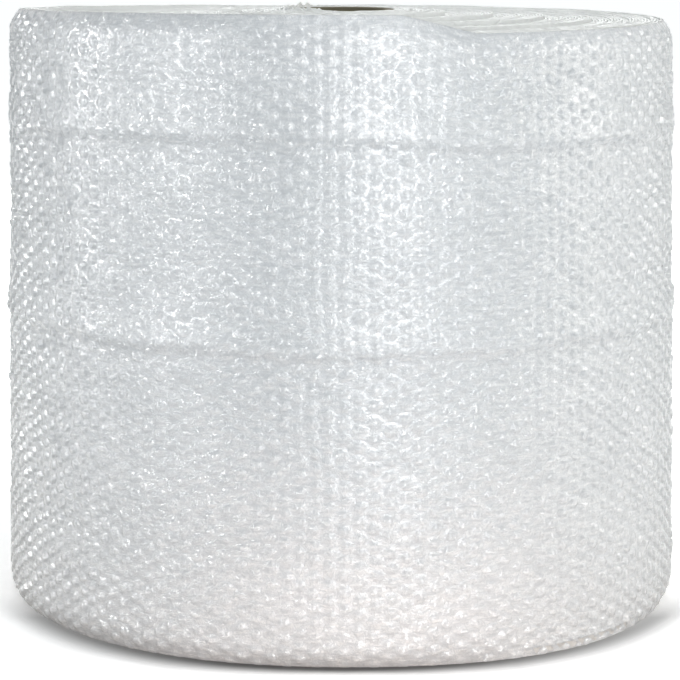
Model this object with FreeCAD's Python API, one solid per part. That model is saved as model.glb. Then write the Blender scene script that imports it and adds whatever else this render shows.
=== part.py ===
import FreeCAD, Part
import math
import os

# A roll of bubble wrap standing on end, in millimetres.
# The origin is the middle of the foot, Z runs up the axis of the roll and -Y is its front.
# A heading is an angle in plan, measured from the front, positive towards +X.

film_width = 500.0        # width of the web, which is the height of every turn
roll_radius = 293.5       # over the bubble tops, half way up
foot_spread = 10.0        # the turns lie looser at the foot, so its radius is this much larger

bubble_height = 4.0       # also the step that the free edge of the last turn makes
row_spacing = 12.0        # between axial rows of bubbles, round the roll
row_relief = 2.6          # how deep the surface dips between two rows
tail_heading = 150.0      # the free edge of the film lies behind, on the right

swelling_heights = (259.0, 424.0)  # two rings where tight turns below make the side stand out
swelling_size = 2.5
swelling_drop = 10.0      # each ends over this much height below, and fades out slowly above

edge_inset = 6.0          # the film's cut edges lean inwards by this much at each end
edge_rise = 18.0          # over this much height

core_bore_radius = 38.1
core_wall = 7.0
core_clearance = 0.15     # between the tube and the first turn

cone_rise = 8.0           # the turns climb by this much towards the tube, which moves with them
outer_turns = 34.0        # thickness of the outermost turns, which stay level
bundle_count = 5          # the inner turns slide in bundles, each a step from the next
bundle_step = 3.0

collar_width = 20.0       # the outer turns that have slid upwards at the front
collar_setback = 0.6      # from the leaning edge of the last turn
collar_high = 16.0        # how far they stand proud where they are highest
collar_low = -0.4         # the same plane on the far side, sunk in the roll
collar_heading = -10.0    # where it is highest
collar_end_heading = 22.0  # where it has dropped back to the level of the roll
collar_end_run = 62.0     # the length over which it drops


def plan_point(heading, radius, height):
    angle = math.radians(heading)
    return FreeCAD.Vector(radius * math.sin(angle), -radius * math.cos(angle), height)


def radius_at(height):
    """Radius over the bubble tops at a height: the roll is slightly wider at its foot."""
    return roll_radius + foot_spread * (0.5 - height / film_width)


def row_outline(height, stand_out):
    """Closed outline of the last turn: one ridge for each axial row of bubbles.

    The radius shrinks by one film thickness over the turn, which leaves the step of the free edge.
    """
    rows = round(2 * math.pi * roll_radius / row_spacing)
    row_angle = 360.0 / rows
    radius = radius_at(height) + stand_out
    points = []
    for row in range(rows):
        heading = tail_heading + row * row_angle
        tops = radius - bubble_height * row / rows
        points.append(plan_point(heading, tops - row_relief, height))
        points.append(plan_point(heading + row_angle / 2, tops, height))
    points.append(plan_point(tail_heading, radius - bubble_height - row_relief, height))
    points.append(points[0])
    return Part.makePolygon(points)


def side_levels():
    """Heights up the side of the roll, each with how far the film stands out or leans in there."""
    levels = [(0.0, -edge_inset), (edge_rise, 0.0)]
    for middle in swelling_heights:
        levels += [(middle - swelling_drop, 0.0), (middle, swelling_size)]
    return levels + [(film_width - edge_rise, 0.0), (film_width, -edge_inset)]


def level_radius():
    """Where the level outer turns meet the climbing inner turns."""
    return roll_radius - outer_turns


def first_turn_radius():
    return core_bore_radius + core_wall + core_clearance


def last_turns():
    """Ring of the outer turns: rows of bubbles outside, two swellings, and both edges leaning in."""
    outlines = [row_outline(height, stand_out) for height, stand_out in side_levels()]
    ring = Part.makeLoft(outlines, True, True)
    return ring.cut(Part.makeCylinder(level_radius(), film_width))


def stepped_edge(level, step):
    """Points across one end of the inner turns, from the tube outwards.

    The first bundle is level with the end of the tube. Each further one starts a step off the cone
    and leans back to it.
    """
    inner = first_turn_radius()
    bundle = (level_radius() - inner) / bundle_count
    slope = cone_rise / (level_radius() - inner)
    points = []
    for turn in range(bundle_count):
        start = turn * bundle
        end = start + bundle
        drop = step if turn > 0 else 0.0
        points.append(FreeCAD.Vector(inner + start, 0, level + cone_rise - slope * start - drop))
        points.append(FreeCAD.Vector(inner + end, 0, level + cone_rise - slope * end))
    return points


def inner_turns():
    """Turns between the tube and the level ones: raised at the tube on top, hollow at the foot."""
    top = stepped_edge(film_width, bundle_step)
    foot = stepped_edge(0.0, -bundle_step)
    outline = Part.makePolygon(top + foot[::-1] + top[:1])
    return Part.Face(outline).revolve(FreeCAD.Vector(), FreeCAD.Vector(0, 0, 1), 360)


def below_plane(point, uphill_heading, rise, run):
    """Large block under a plane through point that climbs by rise over run towards a heading."""
    size = 4 * roll_radius
    block = Part.makeBox(size, size, size, FreeCAD.Vector(-size / 2, -size / 2, -size))
    block.rotate(FreeCAD.Vector(), FreeCAD.Vector(1, 0, 0), -math.degrees(math.atan2(rise, run)))
    block.rotate(FreeCAD.Vector(), FreeCAD.Vector(0, 0, 1), uphill_heading)
    block.translate(point)
    return block


def slid_turns():
    """Outer turns that slid up at the front left and drop back steeply at the right."""
    outer = radius_at(film_width) - edge_inset - bubble_height - row_relief - collar_setback
    base = FreeCAD.Vector(0, 0, film_width - edge_rise)
    height = edge_rise + collar_high
    ring = Part.makeCylinder(outer, height, base).cut(Part.makeCylinder(outer - collar_width, height, base))
    middle = film_width + (collar_high + collar_low) / 2
    gentle = below_plane(FreeCAD.Vector(0, 0, middle), collar_heading, (collar_high - collar_low) / 2, outer)
    end_point = plan_point(collar_end_heading, outer, film_width)
    steep = below_plane(end_point, collar_end_heading - 90, collar_high, collar_end_run)
    return ring.common(gentle).common(steep)


def bubble_wrap():
    return last_turns().multiFuse([inner_turns(), slid_turns()])


def cardboard_core():
    """Wound cardboard tube, cut to the width of the film and pushed up with the inner turns."""
    foot = FreeCAD.Vector(0, 0, cone_rise)
    outer = Part.makeCylinder(core_bore_radius + core_wall, film_width, foot)
    return outer.cut(Part.makeCylinder(core_bore_radius, film_width, foot))


def main():
    os.makedirs("parts", exist_ok=True)
    for name, make in (("bubble_wrap", bubble_wrap), ("cardboard_core", cardboard_core)):
        shape = make()
        shape.exportStep("parts/" + name + ".step")
        box = shape.BoundBox
        print(name, "solids", len(shape.Solids), "valid", shape.isValid(), "volume", round(shape.Volume))
        print("  x", round(box.XMin, 1), round(box.XMax, 1), "y", round(box.YMin, 1), round(box.YMax, 1),
              "z", round(box.ZMin, 1), round(box.ZMax, 1))


main()
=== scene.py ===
# %% [markdown]
# A roll of bubble wrap, standing on end. The frame below brings in the two solids of the part: the
# wound film and the cardboard tube. This lesson dresses them: a web of real bubbles for the last turn,
# the thin edges of all the turns on both ends, and a wound paper tube in the middle.
# %% Load the frame and keep its box
import math
import bpy
import numpy as np
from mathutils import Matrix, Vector


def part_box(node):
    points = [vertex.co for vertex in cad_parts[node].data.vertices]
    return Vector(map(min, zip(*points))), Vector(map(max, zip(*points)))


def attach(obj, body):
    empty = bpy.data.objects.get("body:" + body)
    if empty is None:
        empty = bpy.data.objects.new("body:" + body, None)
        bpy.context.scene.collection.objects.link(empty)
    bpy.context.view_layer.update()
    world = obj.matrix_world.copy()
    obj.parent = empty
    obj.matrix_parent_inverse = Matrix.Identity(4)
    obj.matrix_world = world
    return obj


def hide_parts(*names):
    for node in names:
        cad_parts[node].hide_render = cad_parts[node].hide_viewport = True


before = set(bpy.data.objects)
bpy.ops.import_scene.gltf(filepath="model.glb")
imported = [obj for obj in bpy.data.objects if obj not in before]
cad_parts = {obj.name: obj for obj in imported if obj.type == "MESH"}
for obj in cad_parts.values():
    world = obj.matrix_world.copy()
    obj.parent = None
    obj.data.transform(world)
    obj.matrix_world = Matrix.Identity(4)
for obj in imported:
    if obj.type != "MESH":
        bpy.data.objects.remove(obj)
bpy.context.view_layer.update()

MM = 0.001
wrap_low, wrap_high = (Vector(corner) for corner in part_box("bubble_wrap"))
core_low, core_high = (Vector(corner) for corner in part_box("cardboard_core"))
print("wrap", wrap_low, wrap_high)
print("core", core_low, core_high)

# %% [markdown]
# The driving sizes. The tube is cut to the width of the film, so its height gives the web's width.
# The film is the common small-bubble kind: bubbles 10 mm across and 4 mm high, one every 12.4 mm along
# the axis, in rows 12 mm apart round the roll, with every other row half a bubble up.
# %% Sizes of the film and the roll
film_width = core_high.z - core_low.z
roll_radius = 293.5 * MM
foot_spread = 10 * MM
bubble_radius = 5 * MM
bubble_height = 4 * MM
bubble_pitch = 12.4 * MM
row_count = round(2 * math.pi * roll_radius / (12 * MM))
row_spacing = 2 * math.pi * roll_radius / row_count
turn_length = row_count * row_spacing
tail_heading = math.radians(150)
edge_inset = 6 * MM
edge_rise = 18 * MM
core_radius = (core_high.x - core_low.x) / 2
core_bore_radius = 38.1 * MM
cone_rise = core_low.z
level_radius = roll_radius - 34 * MM
bundle_count = 5
bundle_step = 3 * MM
turn_pitch = 2.6 * MM
film_setback = 2.2 * MM  # from the radius over the bubble tops in to the flat film
swellings = ((413 * MM, 3.2 * MM, 5), (254 * MM, 2.6 * MM, 6))  # height, size and seed of each ring
swelling_above = 16 * MM
swelling_below = 4 * MM
print("rows of bubbles:", row_count, "web width:", round(film_width, 3))

# %% [markdown]
# Small helpers. An operator in Blender works on whatever is selected, and loading the frame leaves its
# solids selected, so each step first selects its own piece alone. Vertex positions are read and written
# as one array, which is quick enough to push a hundred thousand points about like clay.
# %% Helpers for selecting and for vertex arrays


def select_only(piece):
    if bpy.context.object and bpy.context.object.mode != "OBJECT":
        bpy.ops.object.mode_set(mode="OBJECT")
    bpy.ops.object.select_all(action="DESELECT")
    piece.select_set(True)
    bpy.context.view_layer.objects.active = piece


def get_points(piece):
    flat = np.empty(len(piece.data.vertices) * 3)
    piece.data.vertices.foreach_get("co", flat)
    return flat.reshape(-1, 3)


def set_points(piece, points):
    piece.data.vertices.foreach_set("co", np.asarray(points, dtype=float).ravel())
    piece.data.update()


def apply_modifier(piece, kind, **settings):
    modifier = piece.modifiers.new(kind.lower(), kind)
    for name, value in settings.items():
        setattr(modifier, name, value)
    select_only(piece)
    bpy.ops.object.modifier_apply(modifier=modifier.name)


def count_triangles(piece):
    return sum(len(face.vertices) - 2 for face in piece.data.polygons)


def smooth_step(value, low, high):
    share = np.clip((value - low) / (high - low), 0, 1)
    return share * share * (3 - 2 * share)


def waves(u, v, shortest, longest, seed, count=14):
    """Smooth noise between about -1 and 1: a sum of plane waves with seeded headings and lengths."""
    draw = np.random.default_rng(seed)
    total = np.zeros(np.broadcast(u, v).shape)
    for _ in range(count):
        length = shortest * (longest / shortest) ** draw.random()
        heading, phase = draw.random(2) * 2 * math.pi
        total += np.sin((u * math.cos(heading) + v * math.sin(heading)) * 2 * math.pi / length + phase)
    return total / math.sqrt(count)


# %% [markdown]
# The form of the whole roll, which every piece below follows. The roll is a little wider at its foot.
# The last turns have slid up along the left and the front, and drop back steeply at the right of the
# front: two tilted planes give that rim, the lower of the two counts, and never less than nothing.
# %% Form of the roll


def radius_at(height):
    return roll_radius + foot_spread * (0.5 - height / film_width)


def edge_lean(heading, height):
    """How far the cut edges of the film lean inwards near both ends.

    The foot is not quite round: its edge leans in most at the front, and not at all at the front right.
    """
    foot = np.clip(1 - height / edge_rise, 0, 1)
    top = np.clip(1 - (film_width - height) / edge_rise, 0, 1)
    off_front = np.arctan2(np.sin(heading), np.cos(heading))
    front = np.exp(-(off_front / math.radians(24)) ** 2)
    front_right = np.exp(-((off_front - math.radians(42)) / math.radians(27)) ** 2)
    front_inset, front_right_bulge = 4.7 * MM, 9.5 * MM
    foot_inset = edge_inset + front_inset * front - front_right_bulge * front_right
    return edge_inset * top ** 2 + foot_inset * foot ** 2


def rim_lift(heading, radius):
    high, low = wrap_high.z - film_width - 1 * MM, -0.4 * MM
    high_heading, high_radius = math.radians(-10), 275 * MM
    end_heading, end_run = math.radians(22), 62 * MM
    steepness = high / end_run
    tilt = (high - low) / 2 / high_radius
    gentle = (high + low) / 2 + tilt * np.cos(heading - high_heading) * radius
    steep = radius * np.cos(heading - (end_heading - math.pi / 2)) * steepness
    return np.clip(np.minimum(gentle, steep), 0, None)


def to_roll(heading, radius, height):
    return np.stack([radius * np.sin(heading), -radius * np.cos(heading), height], axis=-1)


print("rim lift at the front, mm:", round(float(rim_lift(0.0, 0.28)) / MM, 1))

# %% [markdown]
# Colours are given as sRGB hex and turned to linear by one function. One more function adds a node
# with its settings and its links, and every material is built with it.
# %% Colour and node helpers


def linear(hex_colour):
    parts = [int(hex_colour[i:i + 2], 16) / 255 for i in (1, 3, 5)]
    return tuple(c / 12.92 if c <= 0.04045 else ((c + 0.055) / 1.055) ** 2.4 for c in parts) + (1.0,)


def add_node(tree, kind, links=None, values=None, **settings):
    """Adds a node. links maps an input to another node's output, values an input to a constant."""
    node = tree.nodes.new("ShaderNode" + kind)
    for name, value in settings.items():
        setattr(node, name, value)
    for name, value in (values or {}).items():
        node.inputs[name].default_value = value
    for name, (other, output) in (links or {}).items():
        tree.links.new(other.outputs[output], node.inputs[name])
    return node


def new_material(name):
    material = bpy.data.materials.new(name)
    material.use_nodes = True
    material.node_tree.nodes.clear()
    return material, material.node_tree


# %% [markdown]
# Blown polyethylene film is clear and glossy, but a hundred layers of it with air between them turn
# milky. So the surface is a pale, slightly blue white that light soaks into a few millimetres, under a
# smooth gloss that gives each bubble its glint. The bubbles barely shade the milky depth, so most of its
# normal is that of the wound film without them, while the gloss follows the bubbles. Winding pulls the
# film into fine creases that run round the roll, and two folds lie below the swellings. The white is
# painted lighter where the creases and crumples stand up, as painted light on that relief, and a thin
# line of painted shade runs under each fold.
# %% Material: blown polyethylene bubble film


MILKY_SHARE = 0.08  # how much of the bubbles' own normal the milky depth takes
GLOSS_SHARE = 0.85  # how much of it the gloss takes
CREASE_DEPTH = 0.9 * MM
CRUMPLE_DEPTH = 0.2 * MM
MILKY_DEPTH = 0.6 * MM
# Lines of painted shade under the two folds: where they lie, how far they sway, how wide and how dark
FOLD_HEIGHTS = (406.5, 250)  # up the web, in the millimetres of the film's own map
FOLD_SWAY = 4.0
FOLD_HALF_WIDTH = 2.0
FOLD_PAINTED_SHADE = 0.95


def painted_fold_shade(tree, web, slow_noise):
    """A thin line of painted shade round the roll under each fold, which sways a little up and down."""
    web_axes = add_node(tree, "SeparateXYZ", {"Vector": (web, "UV")})
    sway = add_node(tree, "MapRange", {"Value": (slow_noise, "Fac")},
                    {"To Min": -FOLD_SWAY, "To Max": FOLD_SWAY})
    swayed = add_node(tree, "Math", {0: (web_axes, "Y"), 1: (sway, "Result")}, operation="ADD")
    lines = []
    for level in FOLD_HEIGHTS:
        off = add_node(tree, "Math", {0: (swayed, "Value")}, {1: level}, operation="SUBTRACT")
        square = add_node(tree, "Math", {0: (off, "Value"), 1: (off, "Value")}, operation="MULTIPLY")
        lines.append(add_node(tree, "MapRange", {"Value": (square, "Value")},
                              {"From Min": 0.0, "From Max": FOLD_HALF_WIDTH ** 2}))
    folds = add_node(tree, "Math", {0: (lines[0], "Result"), 1: (lines[1], "Result")}, operation="MULTIPLY")
    return add_node(tree, "MapRange", {"Value": (folds, "Value")}, {"To Min": FOLD_PAINTED_SHADE, "To Max": 1.0})


def bubble_film_material():
    material, tree = new_material("blown_polyethylene_bubble_film")
    web = add_node(tree, "UVMap", uv_map="film_mm")
    # every Scale here is one over a length in millimetres: creases run 15 mm along and 2.5 mm across
    creases = add_node(tree, "Mapping", {"Vector": (web, "UV")}, {"Scale": (1 / 15, 1 / 2.5, 1)})
    crease_noise = add_node(tree, "TexNoise", {"Vector": (creases, "Vector")},
                            {"Scale": 1.0, "Detail": 3.0, "Roughness": 0.55, "Distortion": 0.6})
    crumple = add_node(tree, "Mapping", {"Vector": (web, "UV")}, {"Scale": (1 / 3.4, 1 / 3.4, 1)})
    crumple_noise = add_node(tree, "TexNoise", {"Vector": (crumple, "Vector")},
                             {"Scale": 1.0, "Detail": 3.0, "Roughness": 0.6, "Distortion": 1.6})
    slow = add_node(tree, "Mapping", {"Vector": (web, "UV")}, {"Scale": (1 / 90, 1 / 60, 1)})
    slow_noise = add_node(tree, "TexNoise", {"Vector": (slow, "Vector")}, {"Scale": 1.0, "Detail": 2.0})
    # painted light on the relief: the white goes lighter where the creases and crumples stand up
    crease_painted_light = add_node(tree, "MapRange", {"Value": (crease_noise, "Fac")}, {"From Min": 0.36, "From Max": 0.62})
    crumple_painted_light = add_node(tree, "MapRange", {"Value": (crumple_noise, "Fac")}, {"From Min": 0.34, "From Max": 0.64})
    painted_relief_light = add_node(tree, "Math", {0: (crease_painted_light, "Result"), 1: (crumple_painted_light, "Result")}, operation="MULTIPLY")
    tone = add_node(tree, "Mix", {"Factor": (painted_relief_light, "Value")}, data_type="RGBA")
    tone.inputs["A"].default_value = linear("#C8CED3")
    tone.inputs["B"].default_value = linear("#EEF1F3")
    slow_tone = add_node(tree, "Mix", {"Factor": (slow_noise, "Fac")}, data_type="RGBA", blend_type="MULTIPLY")
    tree.links.new(tone.outputs["Result"], slow_tone.inputs["A"])
    slow_tone.inputs["B"].default_value = linear("#F0F2F2")
    wound = add_node(tree, "Attribute", attribute_name="wound_normal")
    surface = add_node(tree, "NewGeometry")
    side = add_node(tree, "MapRange", {"Value": (surface, "Backfacing")}, {"To Min": 1.0, "To Max": -1.0})
    seen = add_node(tree, "VectorMath", {0: (wound, "Vector"), "Scale": (side, "Result")}, operation="SCALE")
    turned = add_node(tree, "VectorTransform", {"Vector": (seen, "Vector")},
                      vector_type="NORMAL", convert_from="OBJECT", convert_to="WORLD")
    milky = add_node(tree, "Mix", {"A": (turned, "Vector"), "B": (surface, "Normal")}, {"Factor": MILKY_SHARE},
                     data_type="VECTOR")
    milky_bump = add_node(tree, "Bump", {"Height": (crumple_noise, "Fac"), "Normal": (milky, "Result")},
                          {"Strength": 1.0, "Distance": MILKY_DEPTH})
    glossy = add_node(tree, "Mix", {"A": (turned, "Vector"), "B": (surface, "Normal")}, {"Factor": GLOSS_SHARE},
                      data_type="VECTOR")
    bump_creases = add_node(tree, "Bump", {"Height": (crease_noise, "Fac"), "Normal": (glossy, "Result")},
                            {"Strength": 1.0, "Distance": CREASE_DEPTH})
    bump_crumple = add_node(tree, "Bump",
                            {"Height": (crumple_noise, "Fac"), "Normal": (bump_creases, "Normal")},
                            {"Strength": 1.0, "Distance": CRUMPLE_DEPTH})
    # painted shade under the folds, multiplied into the film's colour
    painted_fold_lines = painted_fold_shade(tree, web, slow_noise)
    tone_with_painted_folds = add_node(tree, "VectorMath", {0: (slow_tone, "Result"), "Scale": (painted_fold_lines, "Result")},
                      operation="SCALE")
    shader = add_node(tree, "BsdfPrincipled",
                      {"Base Color": (tone_with_painted_folds, "Vector"), "Normal": (milky_bump, "Normal"),
                       "Coat Normal": (bump_crumple, "Normal")},
                      {"Roughness": 0.34, "IOR": 1.7, "Subsurface Weight": 0.6, "Subsurface Scale": 7 * MM,
                       "Coat Weight": 1.0, "Coat IOR": 1.7, "Coat Roughness": 0.13},
                      subsurface_method="BURLEY")
    shader.inputs["Subsurface Radius"].default_value = (1.0, 1.0, 1.0)
    add_node(tree, "OutputMaterial", {"Surface": (shader, "BSDF")})
    return material


film = bubble_film_material()


def edge_film_material():
    """The same film seen on its cut edges: many edges side by side look matt and even."""
    material, tree = new_material("slit_polyethylene_film_edges")
    place = add_node(tree, "TexCoord")
    speckle = add_node(tree, "TexNoise", {"Vector": (place, "Object")}, {"Scale": 180.0, "Detail": 3.0})
    tone = add_node(tree, "Mix", {"Factor": (speckle, "Fac")}, data_type="RGBA")
    tone.inputs["A"].default_value = linear("#D6D9D8")
    tone.inputs["B"].default_value = linear("#E2E4E3")
    shader = add_node(tree, "BsdfPrincipled", {"Base Color": (tone, "Result")},
                      {"Roughness": 0.45, "IOR": 1.51, "Subsurface Weight": 0.6, "Subsurface Scale": 6 * MM},
                      subsurface_method="BURLEY")
    shader.inputs["Subsurface Radius"].default_value = (1.0, 1.0, 1.0)
    add_node(tree, "OutputMaterial", {"Surface": (shader, "BSDF")})
    return material


edge_film = edge_film_material()
print(film.name, edge_film.name)

# %% [markdown]
# One bubble. It starts as a six-sided plate that fills one place in the pattern, so that plates tile
# the web with no gap. The plate is inset for the bubble's foot, extruded and narrowed for its wall, and
# poked for its crown. Thirty triangles are enough, because there are six thousand bubbles.
# %% Model one bubble


def bubble_cell():
    bpy.ops.object.select_all(action="DESELECT")
    bpy.ops.mesh.primitive_circle_add(vertices=6, radius=bubble_radius, fill_type="NGON")
    cell = bpy.context.object
    half_pitch = bubble_pitch / 2
    side = (row_spacing ** 2 + half_pitch ** 2) / (2 * row_spacing)
    shoulder = (row_spacing ** 2 - half_pitch ** 2) / (2 * row_spacing)
    corners = [(side, 0), (shoulder, half_pitch), (-shoulder, half_pitch),
               (-side, 0), (-shoulder, -half_pitch), (shoulder, -half_pitch)]
    points = get_points(cell)
    order = np.argsort(np.mod(np.arctan2(points[:, 1], points[:, 0]) + 0.01, 2 * math.pi))
    for place, index in enumerate(order):
        points[index] = (*corners[place], 0)
    set_points(cell, points)
    select_only(cell)
    bpy.ops.object.mode_set(mode="EDIT")
    bpy.ops.mesh.select_all(action="SELECT")
    bpy.ops.mesh.inset(thickness=1.2 * MM, use_even_offset=True)
    bpy.ops.mesh.extrude_region_move(TRANSFORM_OT_translate={"value": (0, 0, 0.78 * bubble_height)})
    bpy.ops.transform.resize(value=(0.74, 0.74, 1))
    bpy.ops.mesh.poke(offset=0)
    bpy.ops.object.mode_set(mode="OBJECT")
    points = get_points(cell)
    reach = np.hypot(points[:, 0], points[:, 1])
    heading = np.round(np.arctan2(points[:, 1], points[:, 0]) / (math.pi / 3)) * (math.pi / 3)
    raised = points[:, 2] > MM
    crown = reach < 0.1 * MM
    between_foot_and_corners = 6.6 * MM
    foot = ~raised & (reach < between_foot_and_corners)
    ring = np.where(raised, 0.76 * bubble_radius, bubble_radius)
    round_it = (foot | raised) & ~crown
    points[round_it, 0] = (ring * np.cos(heading))[round_it]
    points[round_it, 1] = (ring * np.sin(heading))[round_it]
    points[crown, 2] = bubble_height
    set_points(cell, points)
    print("one bubble:", count_triangles(cell), "triangles", len(points), "points")
    return cell


cell = bubble_cell()

# %% [markdown]
# The web. The bubble and a copy half a step up make a pair, the pair is repeated up the web and then
# along it, and the sheet is cut straight at both edges, as the slitting knives do, through the bubbles.
# %% Repeat the bubble into one turn of web


def flat_web(cell):
    other = cell.copy()
    other.data = cell.data.copy()
    bpy.context.collection.objects.link(other)
    set_points(other, get_points(other) + (row_spacing, bubble_pitch / 2, 0))
    select_only(cell)
    other.select_set(True)
    bpy.ops.object.join()
    rows_up = math.ceil(film_width / bubble_pitch) + 2
    pairs_along = math.ceil((row_count + 2) / 2)
    for count, step in ((rows_up, (0, bubble_pitch, 0)), (pairs_along, (2 * row_spacing, 0, 0))):
        apply_modifier(cell, "ARRAY", count=count, use_relative_offset=False, use_constant_offset=True,
                       constant_offset_displace=step, use_merge_vertices=True, merge_threshold=0.05 * MM)
    set_points(cell, get_points(cell) - (0, 0.9 * bubble_pitch, 0))
    select_only(cell)
    bpy.ops.object.mode_set(mode="EDIT")
    for level, outward in ((0.0, -1), (film_width, 1)):
        bpy.ops.mesh.select_all(action="SELECT")
        bpy.ops.mesh.bisect(plane_co=(0, level, 0), plane_no=(0, outward, 0), clear_outer=True)
    bpy.ops.mesh.select_all(action="SELECT")
    bpy.ops.mesh.remove_doubles(threshold=0.1 * MM)
    bpy.ops.object.mode_set(mode="OBJECT")
    cell.name = "last_turn"
    cell.data.name = "last_turn"
    return cell


last_turn = flat_web(cell)
print("flat web:", count_triangles(last_turn), "triangles")

# %% [markdown]
# A flat coordinate map in millimetres is kept on the film before it is rolled up, so that creases and
# blotches follow the film round the roll.
# %% Keep the flat film's own coordinates


def keep_film_map(piece, along, across):
    layer = piece.data.uv_layers.new(name="film_mm")
    loops = np.empty(len(piece.data.loops), dtype=int)
    piece.data.loops.foreach_get("vertex_index", loops)
    pairs = np.stack([along[loops], across[loops]], axis=-1) / MM
    layer.data.foreach_set("uv", pairs.ravel())


flat = get_points(last_turn)
keep_film_map(last_turn, flat[:, 0], flat[:, 1])

# %% [markdown]
# No two bubbles are alike: winding flattens some, and creases tilt their crowns. Each bubble draws its
# own height, tilt and small shift. Those cut open at the edges, and along the free edge, lie flat. At the
# front, where the film is drawn tight over the upper swelling and in to the top edge, they are pressed.
# %% Vary the bubbles


def vary_bubbles(points):
    along, across, height = points.T.copy()
    row = np.round(along / row_spacing).astype(int)
    start = (row % 2) * bubble_pitch / 2 - 0.9 * bubble_pitch
    step = np.round((across - start) / bubble_pitch).astype(int)
    draw = np.random.default_rng(11)
    shape = (row.max() + 2, step.max() + 3)
    squash = np.clip(draw.normal(0.62, 0.1, shape), 0.35, 1.0)
    tilt_along, tilt_across = draw.normal(0, 0.13, (2, *shape))
    from_row = along - row * row_spacing
    from_step = across - (start + step * bubble_pitch)
    in_bubble = np.hypot(from_row, from_step) < 1.1 * bubble_radius
    share = height / bubble_height
    tilt = from_row * tilt_along[row, step] + from_step * tilt_across[row, step]
    height = height * squash[row, step] + share * tilt
    edge = np.minimum(across, film_width - across)
    height *= 0.3 + 0.7 * smooth_step(edge, 0, 9 * MM)
    off_front = tail_heading + along / roll_radius - 2 * math.pi - math.radians(4)
    pressed = 0.6 * np.exp(-(off_front / math.radians(26)) ** 2)
    at_top = smooth_step(across, film_width - 50 * MM, film_width - 20 * MM)
    on_swelling = smooth_step(across, 408 * MM, 414 * MM) * (1 - smooth_step(across, 428 * MM, 438 * MM))
    height *= 1 - pressed * at_top
    height *= 1 - pressed * on_swelling
    height *= 0.3 + 0.7 * smooth_step(along, 0, 10 * MM)
    calm = smooth_step(edge, 0, 30 * MM) * smooth_step(along, 0, 30 * MM)
    shift_along, shift_across = draw.normal(0, 0.4 * MM, (2, *shape))
    stretched_along = 1.5 * MM * waves(along, across, 40 * MM, 170 * MM, 31)
    stretched_across = 1.5 * MM * waves(along, across, 40 * MM, 170 * MM, 32)
    along = along + calm * (stretched_along + in_bubble * shift_along[row, step])
    across = across + calm * (stretched_across + in_bubble * shift_across[row, step])
    return along, across, np.clip(height, 0, bubble_height)


along, across, height = vary_bubbles(flat)
print("bubble height, mm:", round(height.max() / MM, 2))

# %% [markdown]
# Now the web is rolled up. Each point's place along the film becomes a heading round the roll, and the
# radius shrinks by one film thickness over the turn, which leaves the step of the free edge behind.
# Two swellings run right round, each ending sharply below and fading out slowly above, and shallow waves
# keep the side from looking turned on a lathe.
# %% Roll the web up


def swelling(heading, height):
    """The soft relief of the side: two rings that stand out, shallow dents and slanting creases."""
    round_way = heading * roll_radius
    total = 0.35 * MM * waves(round_way, height, 70 * MM, 260 * MM, 3)
    total += 0.2 * MM * waves(round_way, height * 1.6, 24 * MM, 60 * MM, 4)
    for level, size, seed in swellings:
        centre = level + 2 * MM * waves(round_way, 0 * height, 150 * MM, 500 * MM, seed)
        above = (height - centre) / swelling_above
        below = (centre - height) / swelling_below
        ring = np.where(height > centre, np.exp(-above ** 2), np.exp(-below ** 2))
        strength = 0.75 + 0.25 * waves(round_way, 0 * height, 90 * MM, 300 * MM, seed + 10)
        total += size * strength * ring
    return total


def roll_up(along, across, height):
    heading = tail_heading + along / roll_radius
    radius = radius_at(across) - film_setback - bubble_height * along / turn_length + height
    radius = radius - edge_lean(heading, across)
    calm = smooth_step(np.minimum(across, film_width - across), 0, 40 * MM)
    radius = radius + swelling(heading, across) * calm
    free_edge = 1 - smooth_step(along, 0, 28 * MM)
    radius += free_edge * 1.2 * MM * waves(across, 0 * across, 60 * MM, 160 * MM, 8)
    rise = rim_lift(heading, radius) * smooth_step(across, film_width - 170 * MM, film_width)
    return to_roll(heading, radius, across + rise)


def keep_wound_normal(piece, along, across):
    """The direction that the film faces without its bubbles, kept as an attribute for the material.

    Light that soaks through the film evens out the lean of its edge at the foot, so it leans less there.
    """
    step = 1 * MM
    level = np.zeros_like(along)
    round_way = roll_up(along + step, across, level) - roll_up(along - step, across, level)
    upwards = roll_up(along, across + step, level) - roll_up(along, across - step, level)
    normal = np.cross(round_way, upwards)
    normal /= np.linalg.norm(normal, axis=1)[:, None]
    normal[:, 2] *= 0.25 + 0.75 * smooth_step(across, 0, 22 * MM)
    normal /= np.linalg.norm(normal, axis=1)[:, None]
    attribute = piece.data.attributes.new("wound_normal", "FLOAT_VECTOR", "POINT")
    attribute.data.foreach_set("vector", normal.ravel())


set_points(last_turn, roll_up(along, across, height))
keep_wound_normal(last_turn, along, across)
last_turn.data.materials.append(film)
select_only(last_turn)
bpy.ops.object.shade_smooth_by_angle(angle=math.radians(75))
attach(last_turn, "root")
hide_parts("bubble_wrap")

# %% [markdown]
# The ends. Seen from above, a roll is one long film edge, wound round some ninety times: a straight
# inner side and an outer side that bulges at every bubble. A long flat grid, three strips wide, is
# wound up as that edge: one strip is the inner side, one the cut edge and one the bulging side.
# %% Height of the turns on the ends


def cone_stand(inward):
    """Rise of the end face: inward is 0 at the level turns and 1 at the tube.

    The turns slid in bundles. Each starts a step off the cone and leans back to it outwards, and the
    one at the tube has no step.
    """
    bundle = np.clip(inward, 0, 1) * bundle_count
    outward = np.ceil(bundle) - bundle
    stepped = (bundle > 0) & (bundle <= bundle_count - 1)
    return cone_rise * np.clip(inward, 0, 1) - bundle_step * (1 - outward) * stepped


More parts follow.
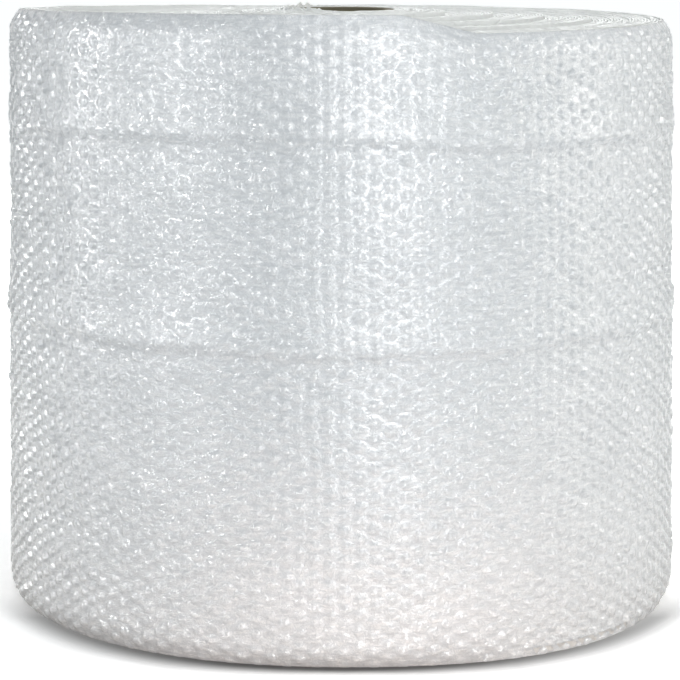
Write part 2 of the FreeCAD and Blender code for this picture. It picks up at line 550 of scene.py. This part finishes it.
def end_height(heading, radius, turn, seed):
    """How far the edge of a turn stands above the level of the outer turns."""
    span = level_radius - core_radius
    inward = np.clip((level_radius - radius) / span, 0, 1)
    stand = cone_stand(inward)
    draw = np.random.default_rng(seed)
    turn_noise = draw.normal(0, 0.25 * MM, int(turn.max()) + 3)
    whole = np.floor(turn).astype(int)
    part = turn - whole
    stand += turn_noise[whole] * (1 - part) + turn_noise[whole + 1] * part
    stand += 0.3 * MM * waves(heading * radius, radius * 20, 40 * MM, 200 * MM, seed + 1)
    # the first turns are crumpled at the left of the tube
    at_left = smooth_step(-np.sin(heading), 0.1, 0.6)
    crumpled = at_left * (1 - smooth_step(radius, core_radius, core_radius + 16 * MM))
    stand += 3 * MM * crumpled * np.abs(waves(heading * radius, radius * 4, 14 * MM, 40 * MM, seed + 2))
    return stand


def wound_edge(name, seed, top):
    """The cut edge of the web from the last turn in to the tube, on top or at the foot.

    The last turn stands off by a bubble, so the first turn of the edge lies a little looser than the rest.
    """
    end = film_width if top else 0.0
    outer = radius_at(end) - edge_inset - film_setback - 1.9 * MM
    loose = bubble_height - turn_pitch
    r_start = outer - loose
    inner = core_radius + 0.8 * MM
    turns = (r_start - inner) / turn_pitch
    mean_radius = (outer + inner) / 2
    length = 2 * math.pi * mean_radius * turns
    steps = 3 * round(length / row_spacing)
    bpy.ops.object.select_all(action="DESELECT")
    bpy.ops.mesh.primitive_grid_add(x_subdivisions=steps, y_subdivisions=3, size=1)
    edge = bpy.context.object
    edge.name = edge.data.name = name
    grid = get_points(edge)
    share = grid[:, 0] + 0.5
    lane = np.round((grid[:, 1] + 0.5) * 3).astype(int)
    # equal steps of film length: the radius falls as the square root of what is left
    radius = np.sqrt(r_start ** 2 - share * (r_start ** 2 - inner ** 2))
    turn = (r_start - radius) / turn_pitch
    radius = radius + loose * np.clip(1 - turn, 0, 1)
    heading = tail_heading + 2 * math.pi * turn
    radius = radius - (edge_lean(heading, end) - edge_inset) * smooth_step(radius, 220 * MM, outer)
    index = np.round(share * steps).astype(int)
    bulge = np.where(index % 3 == 0, 0.35 * MM, 1.55 * MM)
    draw = np.random.default_rng(seed)
    bulge = bulge * (0.8 + 0.4 * draw.random(steps + 1)[index])
    side = np.where(lane >= 2, bulge, 0.0)
    depth = np.where((lane == 0) | (lane == 3), 6 * MM, 0.0)
    stand = end_height(heading, radius, turn, seed)
    slid_from, slid_to = 252 * MM, 262 * MM
    lift = rim_lift(heading, radius) * smooth_step(radius, slid_from, slid_to)
    if top:
        height = film_width + stand + lift - depth
    else:
        height = np.clip(stand, 0, None) + depth
    set_points(edge, to_roll(heading, radius + side, height))
    keep_film_map(edge, share * length, lane * 6 * MM)
    edge.data.materials.append(edge_film)
    select_only(edge)
    bpy.ops.object.mode_set(mode="EDIT")
    bpy.ops.mesh.select_all(action="SELECT")
    bpy.ops.mesh.normals_make_consistent(inside=False)
    bpy.ops.object.mode_set(mode="OBJECT")
    bpy.ops.object.shade_smooth_by_angle(angle=math.radians(60))
    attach(edge, "root")
    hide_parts("bubble_wrap")
    print(name, count_triangles(edge), "triangles", round(turns, 1), "turns")
    return edge


top_edges = wound_edge("top_turn_edges", 21, True)
foot_edges = wound_edge("foot_turn_edges", 22, False)

# %% [markdown]
# Under the edges lies the wound film itself. It only shows as pale depth between the edges, so it is
# one profile, spun once round the axis and closed.
# %% The film below the edges


def spin_profile(name, profile):
    """A ring of points is laid out as a closed profile and spun once round the axis."""
    bpy.ops.object.select_all(action="DESELECT")
    bpy.ops.mesh.primitive_circle_add(vertices=len(profile), radius=core_radius)
    piece = bpy.context.object
    piece.name = piece.data.name = name
    set_points(piece, profile)
    select_only(piece)
    bpy.ops.object.mode_set(mode="EDIT")
    bpy.ops.mesh.select_all(action="SELECT")
    bpy.ops.mesh.spin(steps=120, angle=2 * math.pi, center=(0, 0, 0), axis=(0, 0, 1))
    bpy.ops.mesh.select_all(action="SELECT")
    bpy.ops.mesh.remove_doubles(threshold=0.05 * MM)
    bpy.ops.mesh.normals_make_consistent(inside=False)
    bpy.ops.object.mode_set(mode="OBJECT")
    bpy.ops.object.shade_smooth_by_angle(angle=math.radians(40))
    return piece


def wound_body():
    inner = core_radius + 0.3 * MM
    outer = radius_at(film_width) - edge_inset - bubble_height - film_setback - 0.8 * MM
    sink = 2.6 * MM
    profile = []
    for top in (True, False):
        side = []
        for share in np.linspace(0, 1, 29):
            radius = inner + share * (outer - inner)
            spread = np.clip((level_radius - radius) / (level_radius - core_radius), 0, 1)
            stand = float(cone_stand(spread))
            level = film_width + stand - sink if top else max(stand, 0) + sink
            side.append((radius, 0, level))
        profile += side if top else side[::-1]
    body = spin_profile("wound_film_body", profile)
    points = get_points(body)
    heading = np.arctan2(points[:, 0], -points[:, 1])
    keep_film_map(body, heading * roll_radius, points[:, 2] + np.hypot(points[:, 0], points[:, 1]))
    body.data.materials.append(edge_film)
    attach(body, "root")
    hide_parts("bubble_wrap")
    print("body", count_triangles(body), "triangles")
    return body


wound_film = wound_body()

# %% [markdown]
# The tube is grey board, wound on a slant from strips of paper and cut square. It shows its plies on
# the cut end and the slanting joint of the strips on its walls.
# %% Material: wound greyboard


def greyboard_material():
    material, tree = new_material("wound_greyboard")
    place = add_node(tree, "TexCoord")
    axes = add_node(tree, "SeparateXYZ", {"Vector": (place, "Object")})
    angle = add_node(tree, "Math", {0: (axes, "Y"), 1: (axes, "X")}, operation="ARCTAN2")
    strip_climb = 110 * MM
    climb = add_node(tree, "Math", {0: (axes, "Z")}, {1: 2 * math.pi / strip_climb}, operation="MULTIPLY")
    spiral = add_node(tree, "Math", {0: (angle, "Value"), 1: (climb, "Value")}, operation="ADD")
    wave = add_node(tree, "Math", {0: (spiral, "Value")}, operation="SINE")
    seam = add_node(tree, "MapRange", {"Value": (wave, "Value")}, {"From Min": 0.985, "From Max": 1.0})
    fibre = add_node(tree, "TexNoise", {"Vector": (place, "Object")},
                     {"Scale": 900.0, "Detail": 5.0, "Roughness": 0.7})
    stain = add_node(tree, "TexNoise", {"Vector": (place, "Object")}, {"Scale": 60.0, "Detail": 3.0})
    # grey board's own colour, made darker than lit board as painted shade for the dim bore
    paper_and_painted_shade = add_node(tree, "Mix", {"Factor": (fibre, "Fac")}, data_type="RGBA")
    paper_and_painted_shade.inputs["A"].default_value = linear("#66634F")
    paper_and_painted_shade.inputs["B"].default_value = linear("#8E8B78")
    stained = add_node(tree, "Mix", {"Factor": (stain, "Fac")}, data_type="RGBA", blend_type="MULTIPLY")
    tree.links.new(paper_and_painted_shade.outputs["Result"], stained.inputs["A"])
    stained.inputs["B"].default_value = linear("#E6E2D6")
    joined = add_node(tree, "Mix", {"Factor": (seam, "Result")}, data_type="RGBA")
    tree.links.new(stained.outputs["Result"], joined.inputs["A"])
    joined.inputs["B"].default_value = linear("#5E5B52")
    bump = add_node(tree, "Bump", {"Height": (fibre, "Fac")}, {"Strength": 0.4, "Distance": 0.3 * MM})
    shader = add_node(tree, "BsdfPrincipled",
                      {"Base Color": (joined, "Result"), "Normal": (bump, "Normal")},
                      {"Roughness": 0.85, "IOR": 1.5})
    add_node(tree, "OutputMaterial", {"Surface": (shader, "BSDF")})
    return material


greyboard = greyboard_material()

# %% [markdown]
# The tube's profile is a closed ring of points: out along the foot, up, and back along the top. Every
# other ply stands back a little on both cut ends, as the saw leaves them. The profile is spun round.
# %% The cardboard tube


def paper_tube():
    ply_count = 6
    ply_setback = 0.45 * MM
    ply = (core_radius - core_bore_radius) / ply_count
    profile = []
    for top in (False, True):
        level = core_high.z if top else core_low.z
        inward = -1 if top else 1
        side = []
        for index in range(ply_count + 1):
            radius = core_bore_radius + ply * index
            side.append((radius, 0, level + inward * (0.0 if index % 2 else ply_setback)))
        profile += side[::-1] if top else side
    tube = spin_profile("paper_tube", profile)
    tube.data.materials.append(greyboard)
    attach(tube, "root")
    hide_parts("cardboard_core")
    print("tube", count_triangles(tube), "triangles")
    return tube


tube = paper_tube()

# %% [markdown]
# The stage: a pale floor that looks pure white to the camera away from the roll, and keeps its soft
# shadow. Close to the foot a painted contact shadow darkens its colour to the dark line where roll and
# floor meet, narrowest and darkest in front, and only in front of the roll. For all other rays the floor
# is a pale surface, warm near the roll, which gives the foot its warm tint.
# %% Floor and world


def seen_directly(tree):
    """One for camera and glossy rays, nought for all others."""
    path = add_node(tree, "LightPath")
    return add_node(tree, "Math", {0: (path, "Is Camera Ray"), 1: (path, "Is Glossy Ray")},
                    operation="MAXIMUM")


def painted_contact_shadow(tree, place, reach):
    """Painted contact shadow: one on the open floor, falling to nearly nought at the foot of the roll, in front
    of it only.
    """
    axes = add_node(tree, "SeparateXYZ", {"Vector": (place, "Object")})
    off_middle = add_node(tree, "Math", {0: (axes, "X")}, operation="ABSOLUTE")
    wide = add_node(tree, "MapRange", {"Value": (off_middle, "Value")},
                    {"From Min": 0.02, "From Max": 0.14, "To Min": 0.3215, "To Max": 0.341})
    narrower = add_node(tree, "MapRange", {"Value": (axes, "Y")},
                        {"From Min": -0.24, "From Max": -0.16, "To Min": 0.0, "To Max": 0.010})
    edge = add_node(tree, "Math", {0: (wide, "Result"), 1: (narrower, "Result")}, operation="SUBTRACT")
    darkest = add_node(tree, "MapRange", {"Value": (axes, "Y")},
                       {"From Min": -0.1, "From Max": -0.28, "To Min": 0.5, "To Max": 0.1})
    painted_contact = add_node(tree, "MapRange", {"Value": (reach, "Value"), "From Max": (edge, "Value"),
                                          "To Min": (darkest, "Result")}, {"From Min": 0.298, "To Max": 1.0},
                       interpolation_type="SMOOTHSTEP")
    front = add_node(tree, "MapRange", {"Value": (axes, "Y")}, {"From Min": -0.06, "From Max": -0.14})
    return add_node(tree, "Mix", {"Factor": (front, "Result"), "B": (painted_contact, "Result")}, {"A": 1.0})


def floor_material():
    material, tree = new_material("studio_floor")
    seen = seen_directly(tree)
    place = add_node(tree, "TexCoord")
    oval = add_node(tree, "Mapping", {"Vector": (place, "Object")},
                    {"Location": (-0.004, 0, 0), "Scale": (1, 1.03, 1)})
    reach = add_node(tree, "VectorMath", {0: (oval, "Vector")}, operation="LENGTH")
    open_floor = add_node(tree, "MapRange", {"Value": (reach, "Value")},
                          {"From Min": 0.35, "From Max": 1.2, "To Min": 1.62, "To Max": 2.1})
    # painted contact shadow, multiplied into the floor's colour for camera and glossy rays
    painted_shadow = painted_contact_shadow(tree, place, reach)
    white = add_node(tree, "Math", {0: (open_floor, "Result"), 1: (painted_shadow, "Result")}, operation="MULTIPLY")
    away = add_node(tree, "MapRange", {"Value": (reach, "Value")}, {"From Min": 0.35, "From Max": 0.6})
    bounce = add_node(tree, "Mix", {"Factor": (away, "Result")}, data_type="RGBA")
    bounce.inputs["A"].default_value = linear("#F8E8DE")
    bounce.inputs["B"].default_value = linear("#E6E8EA")
    colour = add_node(tree, "Mix", {"Factor": (seen, "Value"), "A": (bounce, "Result"), "B": (white, "Value")},
                      data_type="RGBA")
    shader = add_node(tree, "BsdfDiffuse", {"Color": (colour, "Result")})
    add_node(tree, "OutputMaterial", {"Surface": (shader, "BSDF")})
    return material


bpy.ops.object.select_all(action="DESELECT")
bpy.ops.mesh.primitive_plane_add(size=80, location=(0, 0, 0))
floor = bpy.context.object
floor.name = "studio_floor"
floor.data.materials.append(floor_material())

world = bpy.data.worlds.new("studio_world")
bpy.context.scene.world = world
world.use_nodes = True
world.node_tree.nodes.clear()
room = add_node(world.node_tree, "Mix", {"Factor": (seen_directly(world.node_tree), "Value")},
                data_type="RGBA")
room.inputs["A"].default_value = (0.468, 0.478, 0.482, 1)
room.inputs["B"].default_value = (1, 1, 1, 1)
background = add_node(world.node_tree, "Background", {"Color": (room, "Result")}, {"Strength": 1.0})
add_node(world.node_tree, "OutputWorld", {"Surface": (background, "Background")})

# %% [markdown]
# Light. Soft boxes at the front right, at the right, behind and above light the side and the end face,
# so the left stays cooler and darker. A small low box at the left and a warm card before the foot lift
# the film near the floor. The glint lamps add highlights alone: a broad one beside the camera for the
# bright stripe down the middle, one high up for the lean of the top edge, and small ones at both sides
# for the dots on the bubbles.
# %% Lights and camera


def soft_box(name, heading, distance, height, size_x, size_y, power, colour="#FFFFFF", aim=0.25):
    lamp = bpy.data.lights.new(name, "AREA")
    lamp.shape = "RECTANGLE"
    lamp.size = size_x
    lamp.size_y = size_y
    lamp.energy = power
    lamp.color = linear(colour)[:3]
    holder = bpy.data.objects.new(name, lamp)
    bpy.context.collection.objects.link(holder)
    angle = math.radians(heading)
    holder.location = (distance * math.sin(angle), -distance * math.cos(angle), height)
    towards = Vector((0, 0, aim)) - holder.location
    holder.rotation_euler = towards.to_track_quat("-Z", "Y").to_euler()
    return holder


# name, heading, distance, height, width, depth, power
soft_box("front_box", 18, 3.0, 0.6, 1.6, 0.5, 14.2)
soft_box("right_box", 80, 2.6, 0.8, 1.6, 1.6, 10.5, "#FFF6E8")
left_box = soft_box("left_box", -95, 0.75, 0.03, 0.6, 0.12, 0.36, "#FFF2DE", aim=0.05)
soft_box("back_box", 180, 3.0, 0.9, 1.6, 1.6, 22)
soft_box("top_box", 10, 0.6, 2.6, 1.6, 1.6, 13.5)
foot_card = soft_box("foot_card", 8, 0.45, 0.0, 0.8, 0.06, 0.36, "#FFE2D4", aim=0.03)
foot_card.visible_camera = False
left_box.visible_glossy = False
glint_lamps = [
    soft_box("shine_box", 13, 3.0, 0.65, 1.2, 1.25, 31),
    soft_box("ring_shine", 13, 3.0, 2.77, 1.4, 0.6, 14),
    soft_box("left_glint", -90, 3.0, 0.6, 0.5, 0.5, 25),
    soft_box("low_left_glint", -52, 3.0, 0.6, 0.5, 0.5, 29),
    soft_box("right_glint", 85, 3.0, 1.0, 0.5, 0.5, 14),
]
for lamp in glint_lamps:
    lamp.visible_diffuse = False

camera_offset = -2 * MM
camera_distance = 2.266
camera_height = 0.604
camera_pitch = math.radians(9.73)
camera_data = bpy.data.cameras.new("camera")
camera_data.lens = 136.8
camera_data.sensor_width = 36
camera = bpy.data.objects.new("camera", camera_data)
bpy.context.collection.objects.link(camera)
camera.location = (camera_offset, -camera_distance, camera_height)
camera.rotation_euler = (math.pi / 2 - camera_pitch, 0, 0)
bpy.context.scene.camera = camera
bpy.context.scene.view_settings.view_transform = "Standard"
